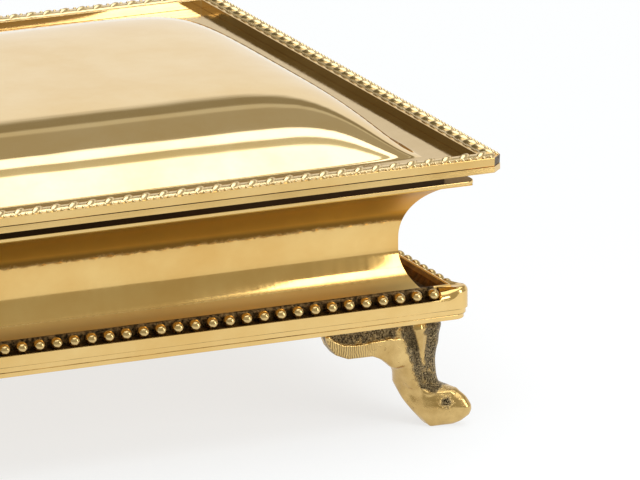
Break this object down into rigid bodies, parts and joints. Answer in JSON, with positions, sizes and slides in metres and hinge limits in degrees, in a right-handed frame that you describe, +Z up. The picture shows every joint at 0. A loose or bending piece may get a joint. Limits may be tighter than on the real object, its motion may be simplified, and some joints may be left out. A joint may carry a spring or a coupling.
{
  "type": "footed brass box",
  "caption": "Polished brass casket on cast bracket feet, with a hinged pillow-domed lid, rope-edged rim, concave walls, a pearled base border and a wooden lining.",
  "frame": {"origin": "on the floor under the middle of the box", "axes": "+X to the right along the long side, -Y to the front, +Z up"},
  "size_m": [0.21, 0.15, 0.0672],
  "materials": {
    "polished_brass": "polished",
    "cast_brass": "cast, worn bright on the edges",
    "patinated_brass": "patinated",
    "lining_wood": "plain boards, waxed"
  },
  "bodies": {
    "box": {"top_flange": "polished_brass", "wall_back": "polished_brass", "wall_left": "polished_brass", "wall_front": "polished_brass", "wall_right": "polished_brass", "base_plate": "polished_brass", "bottom_plate": "polished_brass", "base_moulding_back": "polished_brass", "base_moulding_left": "polished_brass", "base_moulding_front": "polished_brass", "base_moulding_right": "polished_brass", "base_pearls_back": "patinated_brass", "base_pearls_left": "patinated_brass", "base_pearls_front": "patinated_brass", "base_pearls_right": "patinated_brass", "foot_front_left": "cast_brass", "foot_front_right": "cast_brass", "foot_back_right": "cast_brass", "foot_back_left": "cast_brass", "liner_front": "lining_wood", "liner_back": "lining_wood", "liner_left": "lining_wood", "liner_right": "lining_wood", "liner_floor": "lining_wood", "hinge_box_leaf_left": "polished_brass", "hinge_box_leaf_right": "polished_brass", "hinge_pin_left": "polished_brass", "hinge_pin_right": "polished_brass"},
    "lid": {"lid_panel": "polished_brass", "lid_rim_back": "polished_brass", "lid_rim_left": "polished_brass", "lid_rim_front": "polished_brass", "lid_rim_right": "polished_brass", "lid_rope_back": "polished_brass", "lid_rope_left": "polished_brass", "lid_rope_front": "polished_brass", "lid_rope_right": "polished_brass", "lid_lining": "lining_wood", "hinge_lid_leaf_left": "polished_brass", "hinge_lid_leaf_right": "polished_brass"}
  },
  "joints": [
    {"name": "lid_hinge", "type": "hinge", "parent": "box", "child": "lid", "pos_m": [0, 0.0705, 0.0548], "axis": [-1, 0, 0], "range_deg": [0, 115]}
  ]
}
